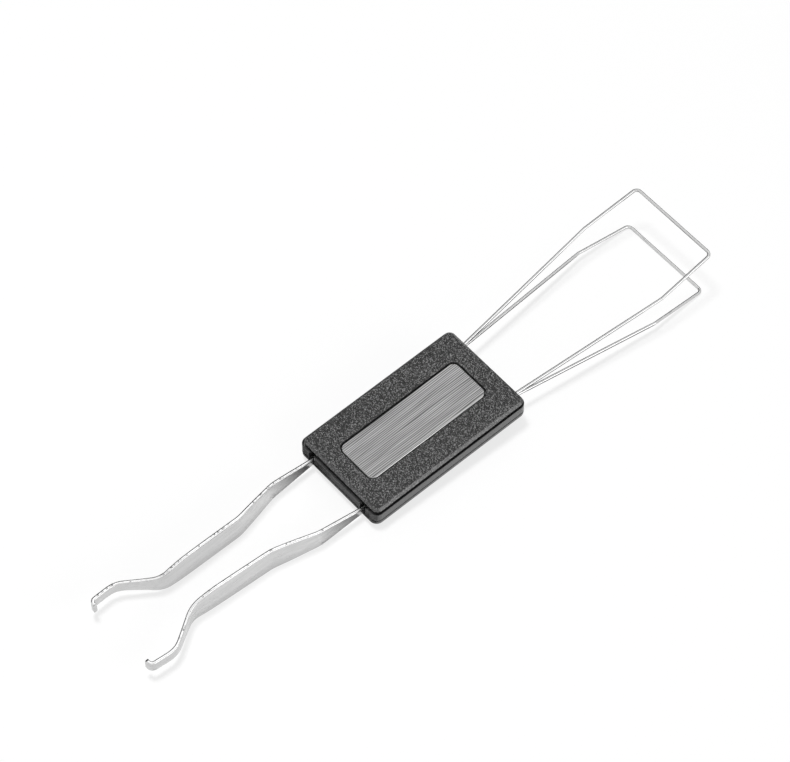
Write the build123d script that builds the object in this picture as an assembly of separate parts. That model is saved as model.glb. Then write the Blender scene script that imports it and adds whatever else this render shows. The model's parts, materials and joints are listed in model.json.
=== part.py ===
from build123d import *
import math
import os

# Two-ended puller for keyboards, in millimetres: wire loops for keycaps at +X, a steel fork for switches at -X.
# The origin is the middle of the handle's flat underside, +Z is up and X runs along the tool.

# Handle
HANDLE_LENGTH = 35.6
HANDLE_WIDTH = 20.6
HANDLE_THICKNESS = 4.1
CORNER_RADIUS = 1.5
BOTTOM_ROUND = 0.5

# Base: a wall that tapers to a fine rim, a fine line round it, and a deeper one at the fork end
BASE_HEIGHT = 3.1
RIM_WIDTH = 0.08
RIM_ROOT_WIDTH = 0.3
LINE_LEVEL = 1.25
LINE_HEIGHT = 0.3
LINE_DEPTH = 0.08
END_LINE_DEPTH = 0.5

# Lid: set in from the base's walls, with a bevelled edge that overhangs a groove
LID_THICKNESS = 1.4
LID_SIDE_INSET = 0.3
LID_WIRE_INSET = 0.2
LID_FORK_INSET = 0.5
LID_EDGE_THICKNESS = 0.55
LID_BEVEL = 0.45
LID_OVERHANG = 0.5

# Inside of the handle: a hollow core, and tabs of the lid in pockets of the base
FLOOR_THICKNESS = 0.9
CORE_LENGTH = 11.0
CORE_WIDTH = 8.0
TAB_LENGTH = 2.4
TAB_WIDTH = 1.0
TAB_HEIGHT = 1.6
TAB_CLEARANCE = 0.05
TAB_X = 13.0
TAB_Y = 6.5

# Inlay plate
PLATE_LENGTH = 27.25
PLATE_WIDTH = 9.05
PLATE_THICKNESS = 0.4
PLATE_RADIUS = 1.35
PLATE_BEVEL = 0.15
PLATE_GAP = 0.2
PLATE_SINK = 0.3

# Fork: one strip of spring steel on edge, bent to a U inside the handle
STRIP_THICKNESS = 0.7
STRIP_CLEARANCE = 0.05
NECK_HEIGHT = 1.6
BLADE_HEIGHT = 6.2
TIP_HEIGHT = 2.3
FORK_LEVEL = 1.35
LEG_RISE = 4.75
BRIDGE_X = -9.0
BRIDGE_BEND = 1.5
NOTCH_WIDTH = 1.4
NOTCH_DEPTH = 1.5
CLAMP_GAP = 0.05

# Stretches of each leg from the handle outwards, and half the spacing of the legs at the bends between them
NECK_LENGTH = 9.4
RAMP_LENGTH = 9.1
WAIST_LENGTH = 16.7
JOGGLE_LENGTH = 7.9
TIP_LENGTH = 4.8
HOOK_LENGTH = 1.15
ROOT_HALF_SPACING = 6.8
RAMP_HALF_SPACING = 6.35
WAIST_HALF_SPACING = 4.32
JOGGLE_HALF_SPACING = 3.85
TIP_HALF_SPACING = 8.35
HOOK_HALF_SPACING = 8.05
RAMP_BEND = 6.0
WAIST_BEND = 6.0
JOGGLE_BEND = 2.6
HOOK_BEND = 0.85

# The tall blade starts and ends within the waist, and tapers until just before the tip
BLADE_START_INSET = 4.7
BLADE_END_INSET = 2.4
TAPER_END_INSET = 0.7
FLARE_BULGE = 0.75

# Wire loops: one above the other, level in the handle, sprung apart outside it and about as wide as it
WIRE_DIAMETER = 0.6
WIRE_CLEARANCE = 0.05
WIRE_HALF_SPACING = 6.86
STACK_LEVEL = 1.7
WIRE_ROOT_X = 10.0
PADDLE_LENGTH = 2.0
PADDLE_WIDTH = 1.0
PADDLE_THICKNESS = 0.3
EXIT_STRAIGHT = 0.3
EXIT_BEND = 3.0
SHOULDER_SET_IN = 0.1
SHOULDER_BEND = 2.5
END_SET_IN = 0.6
END_BEND = 1.0

# Each loop's lengths from the handle to its shoulders and on to its end bar, and the heights that they reach
UPPER_ARM_LENGTH = 32.7
UPPER_HEAD_LENGTH = 12.6
UPPER_SHOULDER_LEVEL = 3.92
UPPER_END_LEVEL = 5.33
LOWER_ARM_LENGTH = 31.6
LOWER_HEAD_LENGTH = 12.55
LOWER_SHOULDER_LEVEL = -3.05
LOWER_END_LEVEL = -5.45

HALF_LENGTH = HANDLE_LENGTH / 2
LID_UNDERSIDE = HANDLE_THICKNESS - LID_THICKNESS
LID_EDGE_LOW = HANDLE_THICKNESS - LID_EDGE_THICKNESS
LID_LENGTH = HANDLE_LENGTH - LID_FORK_INSET - LID_WIRE_INSET
LID_WIDTH = HANDLE_WIDTH - 2 * LID_SIDE_INSET
LID_RADIUS = CORNER_RADIUS - LID_SIDE_INSET
LID_X = (LID_FORK_INSET - LID_WIRE_INSET) / 2
LID_BODY_END = HALF_LENGTH - LID_WIRE_INSET - LID_OVERHANG
PLATE_FLOOR = HANDLE_THICKNESS - PLATE_SINK - PLATE_THICKNESS
NECK_FLOOR = FORK_LEVEL - NECK_HEIGHT / 2
NECK_TOP = FORK_LEVEL + NECK_HEIGHT / 2
WAIST_START = NECK_LENGTH + RAMP_LENGTH
WAIST_END = WAIST_START + WAIST_LENGTH
TIP_START = WAIST_END + JOGGLE_LENGTH
TIP_END = TIP_START + TIP_LENGTH
SHOULDER_HALF_SPACING = HANDLE_WIDTH / 2 - SHOULDER_SET_IN
END_HALF_SPACING = HANDLE_WIDTH / 2 - END_SET_IN
STACK_STEP = WIRE_DIAMETER + WIRE_CLEARANCE
WIRE_FLOOR = STACK_LEVEL - STACK_STEP / 2 - WIRE_DIAMETER / 2 - WIRE_CLEARANCE
WIRE_TOP = STACK_LEVEL + STACK_STEP / 2 + WIRE_DIAMETER / 2


def rounded_block(length, width, radius, low, high):
    return Pos(0, 0, low) * extrude(RectangleRounded(length, width, radius), high - low)


def block(x_span, y_span, z_span):
    corner = Pos(x_span[0], y_span[0], z_span[0])
    return corner * Box(*[high - low for low, high in (x_span, y_span, z_span)], align=Align.MIN)


def around(centre, width):
    return centre - width / 2, centre + width / 2


def mirrored(points):
    return points + [(p[0], -p[1], *p[2:]) for p in reversed(points)]


# The fork's centre line from above: hook, tip, joggle, waist, ramp and neck of each leg, and the bridge between
def fork_line():
    leg = [
        (-HALF_LENGTH - TIP_END, HOOK_HALF_SPACING - HOOK_LENGTH),
        (-HALF_LENGTH - TIP_END, HOOK_HALF_SPACING),
        (-HALF_LENGTH - TIP_START, TIP_HALF_SPACING),
        (-HALF_LENGTH - WAIST_END, JOGGLE_HALF_SPACING),
        (-HALF_LENGTH - WAIST_START, WAIST_HALF_SPACING),
        (-HALF_LENGTH - NECK_LENGTH, RAMP_HALF_SPACING),
        (BRIDGE_X, ROOT_HALF_SPACING),
    ]
    bends = [HOOK_BEND, JOGGLE_BEND, JOGGLE_BEND, WAIST_BEND, RAMP_BEND, BRIDGE_BEND]
    return FilletPolyline(*mirrored(leg), radius=bends + bends[::-1])


def strip_plan(width, low, high):
    return Pos(0, 0, low) * extrude(trace(fork_line(), width), high - low)


# A leg's outline edge-on: a flare from the neck, the blade, and a taper to the tip
def leg_outline():
    neck, blade, tip = NECK_HEIGHT / 2, BLADE_HEIGHT / 2, TIP_HEIGHT / 2
    blade_start = -WAIST_START - BLADE_START_INSET
    blade_end = -WAIST_END + BLADE_END_INSET
    taper_end = -TIP_START + TAPER_END_INSET
    leg_end = -TIP_END - STRIP_THICKNESS
    flare_middle = (blade_start / 2, neck + FLARE_BULGE * (blade - neck))
    flare = ThreePointArc((0, neck), flare_middle, (blade_start, blade))
    edge = Polyline((blade_start, blade), (blade_end, blade), (taper_end, tip), (leg_end, tip))
    upper = [flare, edge]
    lower = [mirror(line, about=Plane.XZ) for line in upper]
    ends = [Line((leg_end, tip), (leg_end, -tip)), Line((0, neck), (0, -neck))]
    return make_face(Curve() + upper + lower + ends)


def switch_fork():
    strip = strip_plan(STRIP_THICKNESS, -TIP_END, TIP_END)
    legs = Rot(90, 0, 0) * extrude(leg_outline(), HANDLE_WIDTH, both=True)
    legs = Pos(-HALF_LENGTH, 0, FORK_LEVEL) * Rot(0, LEG_RISE, 0) * legs
    root = block((-HALF_LENGTH, 0), (-HANDLE_WIDTH, HANDLE_WIDTH), (NECK_FLOOR, NECK_TOP))
    return strip & (legs + root)


# A loop's centre line: straight way out of the handle, shoulder and end corner on each side
def loop_line(level, arm, shoulder_level, head, end_level):
    side = [
        (WIRE_ROOT_X, WIRE_HALF_SPACING, level),
        (HALF_LENGTH + EXIT_STRAIGHT, WIRE_HALF_SPACING, level),
        (HALF_LENGTH + arm, SHOULDER_HALF_SPACING, shoulder_level),
        (HALF_LENGTH + arm + head, END_HALF_SPACING, end_level),
    ]
    bends = [EXIT_BEND, SHOULDER_BEND, END_BEND]
    return FilletPolyline(*mirrored(side), radius=bends + bends[::-1])


# The wire's ends are swaged flat, so that the handle can't let go of them
def wire_loop(level, arm, shoulder_level, head, end_level):
    line = loop_line(level, arm, shoulder_level, head, end_level)
    section = Plane(origin=line @ 0, z_dir=line % 0) * Circle(WIRE_DIAMETER / 2)
    loop = sweep(section, path=line)
    paddle_x = (WIRE_ROOT_X - PADDLE_LENGTH, WIRE_ROOT_X)
    for side in (1, -1):
        paddle_y = around(side * WIRE_HALF_SPACING, PADDLE_WIDTH)
        loop += block(paddle_x, paddle_y, around(level, PADDLE_THICKNESS))
    return loop


def upper_wire_loop():
    level = STACK_LEVEL + STACK_STEP / 2
    return wire_loop(level, UPPER_ARM_LENGTH, UPPER_SHOULDER_LEVEL, UPPER_HEAD_LENGTH, UPPER_END_LEVEL)


def lower_wire_loop():
    level = STACK_LEVEL - STACK_STEP / 2
    return wire_loop(level, LOWER_ARM_LENGTH, LOWER_SHOULDER_LEVEL, LOWER_HEAD_LENGTH, LOWER_END_LEVEL)


# Channels for the stacked wires, with a pocket for their flat ends
def wire_channels():
    cuts = []
    pocket_x = (WIRE_ROOT_X - PADDLE_LENGTH - WIRE_CLEARANCE, WIRE_ROOT_X + WIRE_CLEARANCE)
    for side in (1, -1):
        wire_y = around(side * WIRE_HALF_SPACING, WIRE_DIAMETER + 2 * WIRE_CLEARANCE)
        pocket_y = around(side * WIRE_HALF_SPACING, PADDLE_WIDTH + 2 * WIRE_CLEARANCE)
        cuts.append(block((WIRE_ROOT_X, HALF_LENGTH), wire_y, (WIRE_FLOOR, BASE_HEIGHT)))
        cuts.append(block(pocket_x, pocket_y, (WIRE_FLOOR, LID_UNDERSIDE)))
    return cuts


# The seat for the lid, which widens upwards to the rim
def lid_seat():
    root = RectangleRounded(
        HANDLE_LENGTH - 2 * RIM_ROOT_WIDTH, HANDLE_WIDTH - 2 * RIM_ROOT_WIDTH, CORNER_RADIUS - RIM_ROOT_WIDTH
    )
    depth = BASE_HEIGHT - LID_UNDERSIDE
    flare = math.degrees(math.atan2(RIM_ROOT_WIDTH - RIM_WIDTH, depth))
    return Pos(0, 0, LID_UNDERSIDE) * extrude(root, depth, taper=-flare)


# The fine line round the base, cut deeper across the fork end
def fine_line():
    low, high = around(LINE_LEVEL, LINE_HEIGHT)
    core_length, core_width = HANDLE_LENGTH - 2 * LINE_DEPTH, HANDLE_WIDTH - 2 * LINE_DEPTH
    ring = rounded_block(HANDLE_LENGTH + 1, HANDLE_WIDTH + 1, CORNER_RADIUS, low, high)
    ring -= rounded_block(core_length, core_width, CORNER_RADIUS - LINE_DEPTH, low, high)
    end = block((-HALF_LENGTH, -HALF_LENGTH + END_LINE_DEPTH), (-HANDLE_WIDTH, HANDLE_WIDTH), (low, high))
    return [ring, end]


def tabs(extra, low, high):
    blocks = []
    for x, y in [(TAB_X, 0), (-TAB_X, 0), (0, TAB_Y), (0, -TAB_Y)]:
        blocks.append(block(around(x, TAB_LENGTH + 2 * extra), around(y, TAB_WIDTH + 2 * extra), (low, high)))
    return blocks


def lower_shell():
    base = rounded_block(HANDLE_LENGTH, HANDLE_WIDTH, CORNER_RADIUS, 0, BASE_HEIGHT)
    base = fillet(base.faces().sort_by(Axis.Z)[0].edges(), BOTTOM_ROUND)
    base -= lid_seat()
    base -= fine_line()
    for side in (1, -1):
        notch_x = (-HALF_LENGTH, -HALF_LENGTH + NOTCH_DEPTH)
        base -= block(notch_x, around(side * ROOT_HALF_SPACING, NOTCH_WIDTH), (NECK_FLOOR, BASE_HEIGHT))
    base -= strip_plan(STRIP_THICKNESS + 2 * STRIP_CLEARANCE, NECK_FLOOR, LID_UNDERSIDE)
    base -= wire_channels()
    base -= block(around(0, CORE_LENGTH), around(0, CORE_WIDTH), (FLOOR_THICKNESS, LID_UNDERSIDE))
    base -= tabs(TAB_CLEARANCE, LID_UNDERSIDE - TAB_HEIGHT - TAB_CLEARANCE, LID_UNDERSIDE)
    return base


# Ribs under the lid that hold the fork's strip and the wires down in their channels
def clamp_ribs():
    strip_run = (-HALF_LENGTH + NOTCH_DEPTH, BRIDGE_X - BRIDGE_BEND)
    strip_top = strip_plan(STRIP_THICKNESS, NECK_TOP + CLAMP_GAP, LID_UNDERSIDE)
    ribs = [strip_top & block(strip_run, (-HANDLE_WIDTH, HANDLE_WIDTH), (NECK_TOP, LID_UNDERSIDE))]
    for side in (1, -1):
        rib_y = around(side * WIRE_HALF_SPACING, WIRE_DIAMETER)
        ribs.append(block((WIRE_ROOT_X, LID_BODY_END), rib_y, (WIRE_TOP + CLAMP_GAP, LID_UNDERSIDE)))
    return ribs


def upper_shell():
    lid = rounded_block(LID_LENGTH, LID_WIDTH, LID_RADIUS, LID_EDGE_LOW, HANDLE_THICKNESS)
    lid = chamfer(lid.faces().sort_by(Axis.Z)[-1].edges(), LID_BEVEL)
    body_length, body_width = LID_LENGTH - 2 * LID_OVERHANG, LID_WIDTH - 2 * LID_OVERHANG
    lid += rounded_block(body_length, body_width, LID_RADIUS - LID_OVERHANG, LID_UNDERSIDE, LID_EDGE_LOW)
    lid = Pos(LID_X, 0, 0) * lid
    recess_length, recess_width = PLATE_LENGTH + 2 * PLATE_GAP, PLATE_WIDTH + 2 * PLATE_GAP
    lid -= rounded_block(recess_length, recess_width, PLATE_RADIUS + PLATE_GAP, PLATE_FLOOR, HANDLE_THICKNESS)
    lid += tabs(0, LID_UNDERSIDE - TAB_HEIGHT, LID_UNDERSIDE)
    lid += clamp_ribs()
    return lid


def inlay_plate():
    plate = rounded_block(PLATE_LENGTH, PLATE_WIDTH, PLATE_RADIUS, PLATE_FLOOR, PLATE_FLOOR + PLATE_THICKNESS)
    return chamfer(plate.faces().sort_by(Axis.Z)[-1].edges(), PLATE_BEVEL)


NODES = {
    "upper_shell": upper_shell(),
    "lower_shell": lower_shell(),
    "inlay_plate": inlay_plate(),
    "switch_fork": switch_fork(),
    "upper_wire_loop": upper_wire_loop(),
    "lower_wire_loop": lower_wire_loop(),
}

os.makedirs("parts", exist_ok=True)
for name, shape in NODES.items():
    export_step(shape, f"parts/{name}.step")
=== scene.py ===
import json
import math
import bpy
from mathutils import Matrix, Vector


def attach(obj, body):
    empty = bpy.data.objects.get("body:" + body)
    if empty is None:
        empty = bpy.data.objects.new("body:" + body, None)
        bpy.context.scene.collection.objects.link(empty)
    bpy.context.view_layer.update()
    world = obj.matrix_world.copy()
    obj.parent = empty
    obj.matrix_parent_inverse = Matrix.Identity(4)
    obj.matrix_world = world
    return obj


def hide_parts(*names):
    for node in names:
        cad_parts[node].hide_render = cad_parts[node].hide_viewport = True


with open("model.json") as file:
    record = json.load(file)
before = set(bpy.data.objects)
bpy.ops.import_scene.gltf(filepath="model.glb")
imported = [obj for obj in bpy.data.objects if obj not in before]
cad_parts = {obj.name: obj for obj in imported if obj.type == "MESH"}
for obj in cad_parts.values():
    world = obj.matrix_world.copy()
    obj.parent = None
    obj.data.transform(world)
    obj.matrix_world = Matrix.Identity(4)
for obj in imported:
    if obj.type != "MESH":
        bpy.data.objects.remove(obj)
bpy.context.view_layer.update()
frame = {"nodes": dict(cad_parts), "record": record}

MM = 0.001

# Camera: the photograph's viewing angle, its distance and the spot in the middle of the frame
CAMERA_AZIMUTH = math.radians(-41.292)
CAMERA_ELEVATION = math.radians(57.815)
CAMERA_DISTANCE = 604.83 * MM
CAMERA_TARGET = Vector((4.871, 10.461, -0.653)) * MM
CAMERA_LENS = 154.43
CAMERA_CLIP = (0.01, 20.0)
SENSOR_WIDTH = 36.0

# Dressed fork, in millimetres: where its legs leave the handle and how they rise from there
FORK_ROOT_X = -17.8
FORK_LEVEL = 1.35
FORK_RISE = math.tan(math.radians(4.75))

# Its centre line, as distance out of the handle and half the spacing of the legs, and its bends
FORK_LINE = [
    (47.9, 6.9), (47.9, 8.05), (42.7, 8.35), (35.9, 3.85), (18.5, 4.32), (9.4, 6.35), (-8.8, 6.8),
]
FORK_BENDS = [0.85, 5.0, 5.0, 8.0, 8.0, 1.5]

# Steps of that line, along a straight run and round a bend
LINE_STEP = 0.6
LINE_TURN = math.radians(7)

# The strip's thickness, and the radius of its edges
STRIP_THICKNESS = 0.7
STRIP_EDGE = 0.22

# How far the strip reaches above and below its centre line, at distances out of the handle
STRIP_FLARE = [
    (-9.0, 0.8), (0.0, 0.8), (2.5, 1.15), (5.5, 1.65),
    (8.5, 2.13), (11.6, 2.5), (16.0, 2.95), (20.5, 3.1),
]
STRIP_ABOVE = STRIP_FLARE + [
    (29.0, 3.1), (31.5, 2.98), (34.0, 2.5), (36.0, 1.8),
    (37.5, 1.48), (39.0, 1.34), (42.5, 1.24), (49.0, 1.22),
]
STRIP_BELOW = STRIP_FLARE + [
    (31.5, 3.1), (34.0, 2.9), (36.0, 2.5), (37.5, 2.05), (39.0, 1.65),
    (40.5, 1.42), (42.5, 1.28), (44.5, 1.22), (49.0, 1.22),
]

# Dressed plate, in millimetres: almost flush with the lid, with a bevel that catches the light
PLATE_RADIUS = 1.35
PLATE_BEVEL = 0.2
PLATE_TOP = 4.05

# Patterns of the surfaces along X, Y and Z, in cells or waves per metre
GRAIN_CELLS = (7200, 7200, 7200)
BURR_CELLS = (2600, 2600, 2600)
RIPPLE_WAVES = (700, 700, 700)
PATCH_WAVES = (70, 3600, 400)
ROLLED_WAVES = (110, 1500, 1500)
DRAWN_WAVES = (150, 6000, 6000)

# Brushed lines: spacing, how slowly they change along X, waver, and the period of the wave texture
STREAK_SPACING = 0.36 * MM
STREAK_STRETCH = 0.02
STREAK_WAVER = 5.0
WAVE_PERIOD = math.tau / 20

# Relief of the surfaces, as strength and depth
GRAIN_RELIEF = (0.7, 0.05 * MM)
RIPPLE_RELIEF = (0.15, 0.02 * MM)
STREAK_RELIEF = (0.25, 0.03 * MM)
ROLLED_RELIEF = (0.12, 0.01 * MM)
DRAWN_RELIEF = (0.1, 0.01 * MM)

# How far up a face has to look to start to count, and to count in full, as level
LEVEL_FROM = 0.85
LEVEL_FULL = 0.97

# Floor: its size in metres, its colour, and how much of it is an even white for the eye and in mirrors
FLOOR_SIZE = 6.0
FLOOR_WHITE = 0.95
FLOOR_GLOW = 0.75
FLOOR_MIRROR_GLOW = 0.6

# Far cards: the angles in degrees at which each starts and ends, and its height in metres
CARDS = [(12, 46, 0.6), (46, 122, 0.9)]
CARD_RADIUS = 0.9
CARD_FOOT = -0.05
CARD_STEP = 3.2
CARD_GREY = 0.05

# Flags on the floor: two corners in millimetres, and for a shade flag, which paints the shade by the
# handle's end into mirrors, the grey that it has at the handle
FLAGS = [((-66, 13), (26, 60)), ((22, -22), (50, 13)), ((64.5, -20), (110, 50))]
MIRRORED_SHADE_FLAGS = [(((-27, -60), (-17.9, 3.5)), 0.25), (((-27, 3.5), (-17.9, 60)), 0.06)]
FLAG_LIFT = 0.05 * MM

# Lamps: place and size in metres, how much brighter than the white room, and if mirrors show it
SOFTBOXES = [
    ("top_softbox", (0.58, 0.42, 0.72), (0.55, 0.85), 0.5, True),
    ("camera_softbox", (-0.34, -0.38, 0.80), (0.4, 0.4), 0.6, True),
    ("front_softbox", (0.28, -0.70, 0.33), (0.7, 0.36), 2.2, True),
    ("end_softbox", (-0.72, 0.34, 0.30), (0.6, 0.36), 0.2, True),
    ("shadow_lamp", (-0.05, 0.12, 0.90), (0.16, 0.16), 73.0, False),
]

# How much light the white room gives
WORLD_LIGHT = 0.2


def grey(level):
    return (level, level, level, 1.0)


# Node helpers: the owner is a material or the world
def new_material(name):
    material = bpy.data.materials.new(name)
    material.use_nodes = True
    material.node_tree.nodes.clear()
    return material


def add_node(owner, kind, **settings):
    node = owner.node_tree.nodes.new(kind)
    for key, value in settings.items():
        if key in node.inputs:
            node.inputs[key].default_value = value
        else:
            setattr(node, key, value)
    return node


def link(owner, source, target):
    owner.node_tree.links.new(source, target)


def finish_material(material, shader):
    output = add_node(material, "ShaderNodeOutputMaterial")
    link(material, shader, output.inputs["Surface"])
    return material


# The object's own coordinates in metres, stretched by a scale for each axis
def stretched(material, scale):
    place = add_node(material, "ShaderNodeTexCoord")
    mapping = add_node(material, "ShaderNodeMapping", Scale=scale)
    link(material, place.outputs["Object"], mapping.inputs["Vector"])
    return mapping.outputs["Vector"]


def noise(material, scale, detail=2.0):
    texture = add_node(material, "ShaderNodeTexNoise", Scale=1.0, Detail=detail)
    link(material, stretched(material, scale), texture.inputs["Vector"])
    return texture.outputs["Fac"]


# Small cells, each with a chance value of its own
def speckle(material, scale):
    cells = add_node(material, "ShaderNodeTexVoronoi", Scale=1.0)
    link(material, stretched(material, scale), cells.inputs["Vector"])
    return cells.outputs["Color"]


# Fine lines along X, wavering and uneven
def brushing(material, spacing):
    scale = (STREAK_STRETCH / spacing, WAVE_PERIOD / spacing, 0.0)
    lines = add_node(material, "ShaderNodeTexWave", bands_direction="Y", Scale=1.0, Detail=2.0)
    lines.inputs["Distortion"].default_value = STREAK_WAVER
    link(material, stretched(material, scale), lines.inputs["Vector"])
    return lines.outputs["Fac"]


# Greys that follow a factor, from stops of position and grey
def ramp(material, factor, *stops):
    node = add_node(material, "ShaderNodeValToRGB")
    elements = node.color_ramp.elements
    while len(elements) < len(stops):
        elements.new(0.5)
    for element, (position, level) in zip(elements, stops):
        element.position = position
        element.color = grey(level)
    link(material, factor, node.inputs["Fac"])
    return node.outputs["Color"]


def bump(material, height, strength, distance):
    node = add_node(material, "ShaderNodeBump", Strength=strength, Distance=distance)
    link(material, height, node.inputs["Height"])
    return node.outputs["Normal"]


def mix(material, factor, low, high):
    node = add_node(material, "ShaderNodeMix", data_type="RGBA")
    link(material, factor, node.inputs["Factor"])
    link(material, low, node.inputs["A"])
    link(material, high, node.inputs["B"])
    return node.outputs["Result"]


# One on faces that look straight up, zero on bevels and walls
def level_faces(material):
    place = add_node(material, "ShaderNodeTexCoord")
    split = add_node(material, "ShaderNodeSeparateXYZ")
    link(material, place.outputs["Normal"], split.inputs["Vector"])
    return ramp(material, split.outputs["Z"], (LEVEL_FROM, 0.0), (LEVEL_FULL, 1.0))


# Joins a surface's colour, roughness and relief to its shader
def finish_surface(material, shader, colour, roughness, normal):
    link(material, colour, shader.inputs["Base Color"])
    link(material, roughness, shader.inputs["Roughness"])
    link(material, normal, shader.inputs["Normal"])
    return finish_material(material, shader.outputs["BSDF"])


# Black lid with a fine sparkling grain on top and a smoother edge
def grained_plastic():
    material = new_material("grained_plastic")
    shader = add_node(material, "ShaderNodeBsdfPrincipled", IOR=1.55)
    grain = speckle(material, GRAIN_CELLS)
    top = level_faces(material)
    top_colour = ramp(material, grain, (0.20, 0.001), (0.58, 0.008), (0.90, 0.260))
    edge_colour = ramp(material, grain, (0.40, 0.008), (0.85, 0.160))
    top_roughness = ramp(material, grain, (0.2, 0.60), (0.8, 0.40))
    edge_roughness = ramp(material, grain, (0.2, 0.30), (0.8, 0.22))
    relief = add_node(material, "ShaderNodeMath", operation="MULTIPLY")
    link(material, grain, relief.inputs[0])
    link(material, top, relief.inputs[1])
    colour = mix(material, top, edge_colour, top_colour)
    roughness = mix(material, top, edge_roughness, top_roughness)
    normal = bump(material, relief.outputs[0], *GRAIN_RELIEF)
    return finish_surface(material, shader, colour, roughness, normal)


# Black base, moulded smooth, with a faint ripple
def smooth_plastic():
    material = new_material("smooth_plastic")
    shader = add_node(material, "ShaderNodeBsdfPrincipled", IOR=1.62)
    ripple = noise(material, RIPPLE_WAVES)
    colour = ramp(material, ripple, (0.3, 0.042), (0.7, 0.056))
    roughness = ramp(material, ripple, (0.3, 0.24), (0.7, 0.32))
    normal = bump(material, ripple, *RIPPLE_RELIEF)
    return finish_surface(material, shader, colour, roughness, normal)


# Aluminium plate, brushed along its length
def brushed_aluminium():
    material = new_material("brushed_aluminium")
    shader = add_node(material, "ShaderNodeBsdfPrincipled", Metallic=1.0)
    streaks = brushing(material, STREAK_SPACING)
    face = level_faces(material)
    patches = ramp(material, noise(material, PATCH_WAVES), (0.35, 0.0), (0.65, 1.0))
    dark_lines = ramp(material, streaks, (0.0, 0.10), (1.0, 0.38))
    light_lines = ramp(material, streaks, (0.0, 0.20), (1.0, 0.52))
    face_colour = mix(material, patches, dark_lines, light_lines)
    edge_colour = ramp(material, streaks, (0.3, 0.28), (0.7, 0.38))
    face_roughness = ramp(material, streaks, (0.3, 0.46), (0.7, 0.34))
    edge_roughness = ramp(material, streaks, (0.3, 0.30), (0.7, 0.24))
    colour = mix(material, face, edge_colour, face_colour)
    roughness = mix(material, face, edge_roughness, face_roughness)
    normal = bump(material, streaks, *STREAK_RELIEF)
    return finish_surface(material, shader, colour, roughness, normal)


# Spring-steel strip, rolled bright, with faint lines along it; its level top edges are painted much
# lighter than its sides as a painted highlight, with dark burr flecks
def strip_steel():
    material = new_material("strip_steel")
    shader = add_node(material, "ShaderNodeBsdfPrincipled", Metallic=1.0)
    lines = noise(material, ROLLED_WAVES, detail=3.0)
    burrs = speckle(material, BURR_CELLS)
    side_colour = ramp(material, lines, (0.3, 0.54), (0.7, 0.61))
    # Painted highlight: level top edges far lighter than the sides, broken by dark burr flecks
    edge_colour = ramp(material, burrs, (0.12, 0.30), (0.30, 0.84), (1.0, 0.90))
    colour = mix(material, level_faces(material), side_colour, edge_colour)
    roughness = ramp(material, lines, (0.3, 0.28), (0.7, 0.20))
    normal = bump(material, lines, *ROLLED_RELIEF)
    return finish_surface(material, shader, colour, roughness, normal)


# Drawn wire, bright, with fine die marks along it
def wire_steel():
    material = new_material("wire_steel")
    shader = add_node(material, "ShaderNodeBsdfPrincipled", Metallic=1.0)
    marks = noise(material, DRAWN_WAVES)
    colour = ramp(material, marks, (0.3, 0.53), (0.7, 0.60))
    roughness = ramp(material, marks, (0.3, 0.11), (0.7, 0.06))
    normal = bump(material, marks, *DRAWN_RELIEF)
    return finish_surface(material, shader, colour, roughness, normal)


def make_materials():
    return {
        "grained_plastic": grained_plastic(),
        "smooth_plastic": smooth_plastic(),
        "brushed_aluminium": brushed_aluminium(),
        "strip_steel": strip_steel(),
        "wire_steel": wire_steel(),
    }


def dress_nodes(materials):
    for subpart in frame["record"]["subparts"]:
        node = frame["nodes"][subpart["node"]]
        node.data.materials.clear()
        node.data.materials.append(materials[subpart["material_slot"]])


def mesh_object(name, vertices, faces, material):
    mesh = bpy.data.meshes.new(name)
    mesh.from_pydata(vertices, [], faces)
    mesh.materials.append(material)
    obj = bpy.data.objects.new(name, mesh)
    bpy.context.scene.collection.objects.link(obj)
    return obj


# Faces of a solid whose rings of points follow one another, with a cap at each end
def ring_faces(rings, size):
    faces = []
    for first in range(0, (rings - 1) * size, size):
        for k in range(size):
            a = first + k
            b = first + (k + 1) % size
            faces.append((a, b, b + size, a + size))
    faces.append(tuple(reversed(range(size))))
    faces.append(tuple(range((rings - 1) * size, rings * size)))
    return faces


def straight(start, end):
    count = max(1, round((end - start).length / LINE_STEP))
    return [start.lerp(end, i / count) for i in range(1, count + 1)]


# Points along straight runs and round the bends between them, each bend an arc of its own radius
def rounded_line(corners, radii):
    points = [corners[0]]
    for before, corner, after, radius in zip(corners, corners[1:], corners[2:], radii):
        into = (corner - before).normalized()
        out = (after - corner).normalized()
        angle = into.angle_signed(out)
        start = corner - into * radius * math.tan(abs(angle) / 2)
        side = Vector((into.y, -into.x)) * math.copysign(radius, angle)
        centre = start + side
        points += straight(points[-1], start)
        count = max(2, round(abs(angle) / LINE_TURN))
        for i in range(1, count + 1):
            points.append(centre + Matrix.Rotation(-angle * i / count, 2) @ -side)
    return points + straight(points[-1], corners[-1])


def slope_at(table, k):
    low = table[max(k - 1, 0)]
    high = table[min(k + 1, len(table) - 1)]
    return (high[1] - low[1]) / (high[0] - low[0])


# A smooth curve through a table of places and values
def smooth_value(table, place):
    last = len(table) - 2
    i = next((k for k in range(last) if place < table[k + 1][0]), last)
    (x0, y0), (x1, y1) = table[i], table[i + 1]
    run = x1 - x0
    t = (place - x0) / run
    rise0 = slope_at(table, i) * run
    rise1 = slope_at(table, i + 1) * run
    from_start = (2 * t ** 3 - 3 * t ** 2 + 1) * y0 + (t ** 3 - 2 * t ** 2 + t) * rise0
    from_end = (3 * t ** 2 - 2 * t ** 3) * y1 + (t ** 3 - t ** 2) * rise1
    return from_start + from_end


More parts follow.
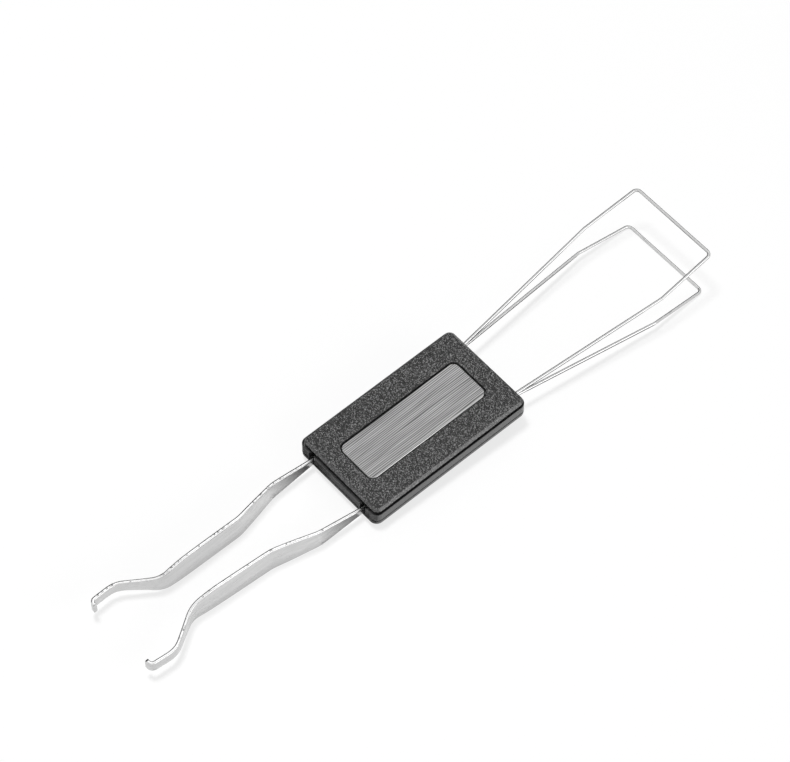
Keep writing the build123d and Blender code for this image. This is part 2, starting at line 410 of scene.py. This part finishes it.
# The strip's section at one place: a tall rectangle with rounded edges, as offsets across and up
def strip_section(above, below):
    across = STRIP_THICKNESS / 2 - STRIP_EDGE
    top = above - STRIP_EDGE
    bottom = STRIP_EDGE - below
    corners = ((across, top), (-across, top), (-across, bottom), (across, bottom))
    section = []
    for quarter, (x, z) in enumerate(corners):
        for eighth in range(3):
            angle = math.radians(90 * quarter + 45 * eighth)
            section.append((x + STRIP_EDGE * math.cos(angle), z + STRIP_EDGE * math.sin(angle)))
    return section


def dressed_fork(material):
    leg = [Vector((FORK_ROOT_X - out, half)) for out, half in FORK_LINE]
    corners = leg + [Vector((p.x, -p.y)) for p in reversed(leg)]
    line = rounded_line(corners, FORK_BENDS + FORK_BENDS[::-1])
    vertices = []
    for i, point in enumerate(line):
        along = (line[min(i + 1, len(line) - 1)] - line[max(i - 1, 0)]).normalized()
        out = FORK_ROOT_X - point.x
        level = FORK_LEVEL + FORK_RISE * max(out, 0.0)
        section = strip_section(smooth_value(STRIP_ABOVE, out), smooth_value(STRIP_BELOW, out))
        for across, up in section:
            spot = point + Vector((along.y, -along.x)) * across
            vertices.append(Vector((spot.x, spot.y, level + up)) * MM)
    fork = mesh_object("fork_strip", vertices, ring_faces(len(line), len(section)), material)
    for face in fork.data.polygons:
        face.use_smooth = len(face.vertices) == 4
    fork.modifiers.new("even_faces", "WEIGHTED_NORMAL")
    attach(fork, "root")
    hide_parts("switch_fork")


def rounded_rectangle(centre, length, width, radius, steps=10):
    points = []
    for quarter, (x, y) in enumerate(((1, 1), (-1, 1), (-1, -1), (1, -1))):
        middle = centre + Vector((x * (length / 2 - radius), y * (width / 2 - radius)))
        for step in range(steps + 1):
            angle = math.radians(90 * quarter + 90 * step / steps)
            points.append(middle + radius * Vector((math.cos(angle), math.sin(angle))))
    return points


def dressed_plate(material):
    points = [v.co for v in frame["nodes"]["inlay_plate"].data.vertices]
    low = Vector([min(p[i] for p in points) for i in range(3)])
    high = Vector([max(p[i] for p in points) for i in range(3)])
    length, width, _ = high - low
    centre = ((low + high) / 2).xy
    bevel = PLATE_BEVEL * MM
    top = PLATE_TOP * MM
    levels = [(0.0, low.z), (0.0, top - bevel), (bevel, top)]
    vertices = []
    for inset, z in levels:
        radius = PLATE_RADIUS * MM - inset
        outline = rounded_rectangle(centre, length - 2 * inset, width - 2 * inset, radius)
        vertices += [(p.x, p.y, z) for p in outline]
    plate = mesh_object("plate_sheet", vertices, ring_faces(len(levels), len(outline)), material)
    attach(plate, "root")
    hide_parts("inlay_plate")


# The table that the tool rests on: it meets the lower loop's end bar and the fork's lowest edge
def floor_level(x):
    loop = frame["nodes"]["lower_wire_loop"]
    bar = min((v.co for v in loop.data.vertices), key=lambda p: p.z)
    fork = [v.co for v in bpy.data.objects["fork_strip"].data.vertices]
    slope = max((bar.z - p.z) / (bar.x - p.x) for p in fork)
    return bar.z + slope * (x - bar.x)


# One where a shiny or a clear surface sees the shader, zero for the eye and for the light that it gives
def seen_in_mirrors(owner, path):
    seen = add_node(owner, "ShaderNodeMath", operation="MAXIMUM")
    link(owner, path.outputs["Is Glossy Ray"], seen.inputs[0])
    link(owner, path.outputs["Is Transmission Ray"], seen.inputs[1])
    return seen.outputs[0]


# Part of the white floor is an even white, less so in mirrors, and the rest takes light and shadow
def floor_material():
    material = new_material("floor")
    path = add_node(material, "ShaderNodeLightPath")
    eye = add_node(material, "ShaderNodeMath", operation="MULTIPLY")
    eye.inputs[1].default_value = FLOOR_GLOW
    even = add_node(material, "ShaderNodeMath", operation="MULTIPLY_ADD")
    even.inputs[1].default_value = FLOOR_MIRROR_GLOW
    diffuse = add_node(material, "ShaderNodeBsdfDiffuse", Color=grey(FLOOR_WHITE))
    glow = add_node(material, "ShaderNodeEmission", Strength=1.0)
    blend = add_node(material, "ShaderNodeMixShader")
    link(material, path.outputs["Is Camera Ray"], eye.inputs[0])
    link(material, seen_in_mirrors(material, path), even.inputs[0])
    link(material, eye.outputs[0], even.inputs[2])
    link(material, even.outputs[0], blend.inputs["Fac"])
    link(material, diffuse.outputs["BSDF"], blend.inputs[1])
    link(material, glow.outputs["Emission"], blend.inputs[2])
    return finish_material(material, blend.outputs["Shader"])


def add_floor():
    half = FLOOR_SIZE / 2
    corners = ((-half, -half), (half, -half), (half, half), (-half, half))
    vertices = [(x, y, floor_level(x)) for x, y in corners]
    mesh_object("floor", vertices, [(0, 1, 2, 3)], floor_material())


def card_material():
    material = new_material("card")
    diffuse = add_node(material, "ShaderNodeBsdfDiffuse", Color=grey(CARD_GREY))
    return finish_material(material, diffuse.outputs["BSDF"])


# Painted shade for mirrors: dark at the handle's end, as white as the floor at the other
def shade_flag_material(rectangle, level):
    material = new_material("mirrored_shade_flag")
    (x0, _), (x1, _) = rectangle
    place = add_node(material, "ShaderNodeTexCoord")
    split = add_node(material, "ShaderNodeSeparateXYZ")
    along = add_node(material, "ShaderNodeMapRange")
    along.inputs["From Min"].default_value = x0 * MM
    along.inputs["From Max"].default_value = x1 * MM
    diffuse = add_node(material, "ShaderNodeBsdfDiffuse")
    link(material, place.outputs["Object"], split.inputs["Vector"])
    link(material, split.outputs["X"], along.inputs["Value"])
    shade_ramp = ramp(material, along.outputs["Result"], (0.0, FLOOR_WHITE), (1.0, level))
    link(material, shade_ramp, diffuse.inputs["Color"])
    return finish_material(material, diffuse.outputs["BSDF"])


# A studio card, or flags, that only shiny surfaces see: each material after the first is for one face
def add_card(name, vertices, faces, materials):
    card = mesh_object(name, vertices, faces, materials[0])
    for i, material in enumerate(materials[1:], start=1):
        card.data.materials.append(material)
        card.data.polygons[i].material_index = i
    card.visible_camera = False
    card.visible_diffuse = False
    card.visible_shadow = False


# Dark cards far behind the tool, curved round it
def add_far_cards():
    vertices, faces = [], []
    for start, end, height in CARDS:
        first = len(vertices)
        steps = round((end - start) / CARD_STEP)
        for step in range(steps + 1):
            angle = math.radians(start + (end - start) * step / steps)
            x = CARD_RADIUS * math.cos(angle)
            y = CARD_RADIUS * math.sin(angle)
            vertices += [(x, y, CARD_FOOT), (x, y, height)]
        faces += [(i, i + 2, i + 3, i + 1) for i in range(first, first + 2 * steps, 2)]
    add_card("far_cards", vertices, faces, [card_material()])


# Flat rectangles just above the floor
def flag_shapes(rectangles):
    vertices, faces = [], []
    for (x0, y0), (x1, y1) in rectangles:
        first = len(vertices)
        for x, y in ((x0, y0), (x1, y0), (x1, y1), (x0, y1)):
            vertices.append((x * MM, y * MM, floor_level(x * MM) + FLAG_LIFT))
        faces.append((first, first + 1, first + 2, first + 3))
    return vertices, faces


# Dark flags on the floor round the tool, and across it at the fork end flags that paint shade into
# mirrors, darkest at the handle
def add_flags():
    add_card("floor_flags", *flag_shapes(FLAGS), [card_material()])
    rectangles = [rectangle for rectangle, _ in MIRRORED_SHADE_FLAGS]
    shade_materials = [shade_flag_material(rectangle, level) for rectangle, level in MIRRORED_SHADE_FLAGS]
    add_card("mirrored_shade_flags", *flag_shapes(rectangles), shade_materials)


# A softbox is set by how much brighter it looks than the white room behind it
def add_softbox(name, place, size, brightness, mirrored):
    light = bpy.data.lights.new(name, "AREA")
    light.shape = "RECTANGLE"
    light.size, light.size_y = size
    light.energy = brightness * math.pi * size[0] * size[1]
    lamp = bpy.data.objects.new(name, light)
    lamp.location = place
    lamp.rotation_euler = (-Vector(place)).to_track_quat("-Z", "Y").to_euler()
    lamp.visible_glossy = mirrored
    bpy.context.scene.collection.objects.link(lamp)


# White for the eye and in mirrors, and a fainter light on the tool
def add_room():
    world = bpy.data.worlds.new("studio")
    bpy.context.scene.world = world
    world.use_nodes = True
    world.node_tree.nodes.clear()
    path = add_node(world, "ShaderNodeLightPath")
    seen = add_node(world, "ShaderNodeMath", operation="MAXIMUM")
    strength = add_node(world, "ShaderNodeMapRange")
    strength.inputs["To Min"].default_value = WORLD_LIGHT
    background = add_node(world, "ShaderNodeBackground", Color=grey(1.0))
    output = add_node(world, "ShaderNodeOutputWorld")
    link(world, path.outputs["Is Camera Ray"], seen.inputs[0])
    link(world, seen_in_mirrors(world, path), seen.inputs[1])
    link(world, seen.outputs[0], strength.inputs["Value"])
    link(world, strength.outputs["Result"], background.inputs["Strength"])
    link(world, background.outputs["Background"], output.inputs["Surface"])


def add_camera():
    back = Vector((
        math.sin(CAMERA_AZIMUTH) * math.cos(CAMERA_ELEVATION),
        -math.cos(CAMERA_AZIMUTH) * math.cos(CAMERA_ELEVATION),
        math.sin(CAMERA_ELEVATION),
    ))
    right = Vector((math.cos(CAMERA_AZIMUTH), math.sin(CAMERA_AZIMUTH), 0.0))
    up = back.cross(right)
    data = bpy.data.cameras.new("camera")
    data.sensor_fit = "HORIZONTAL"
    data.sensor_width = SENSOR_WIDTH
    data.lens = CAMERA_LENS
    data.clip_start, data.clip_end = CAMERA_CLIP
    camera = bpy.data.objects.new("camera", data)
    turn = Matrix((right, up, back)).transposed().to_4x4()
    camera.matrix_world = Matrix.Translation(CAMERA_TARGET + CAMERA_DISTANCE * back) @ turn
    bpy.context.scene.collection.objects.link(camera)
    bpy.context.scene.camera = camera


materials = make_materials()
dress_nodes(materials)
dressed_plate(materials["brushed_aluminium"])
dressed_fork(materials["strip_steel"])
add_floor()
add_far_cards()
add_flags()
for softbox in SOFTBOXES:
    add_softbox(*softbox)
add_room()
add_camera()
bpy.context.scene.view_settings.view_transform = "Standard"
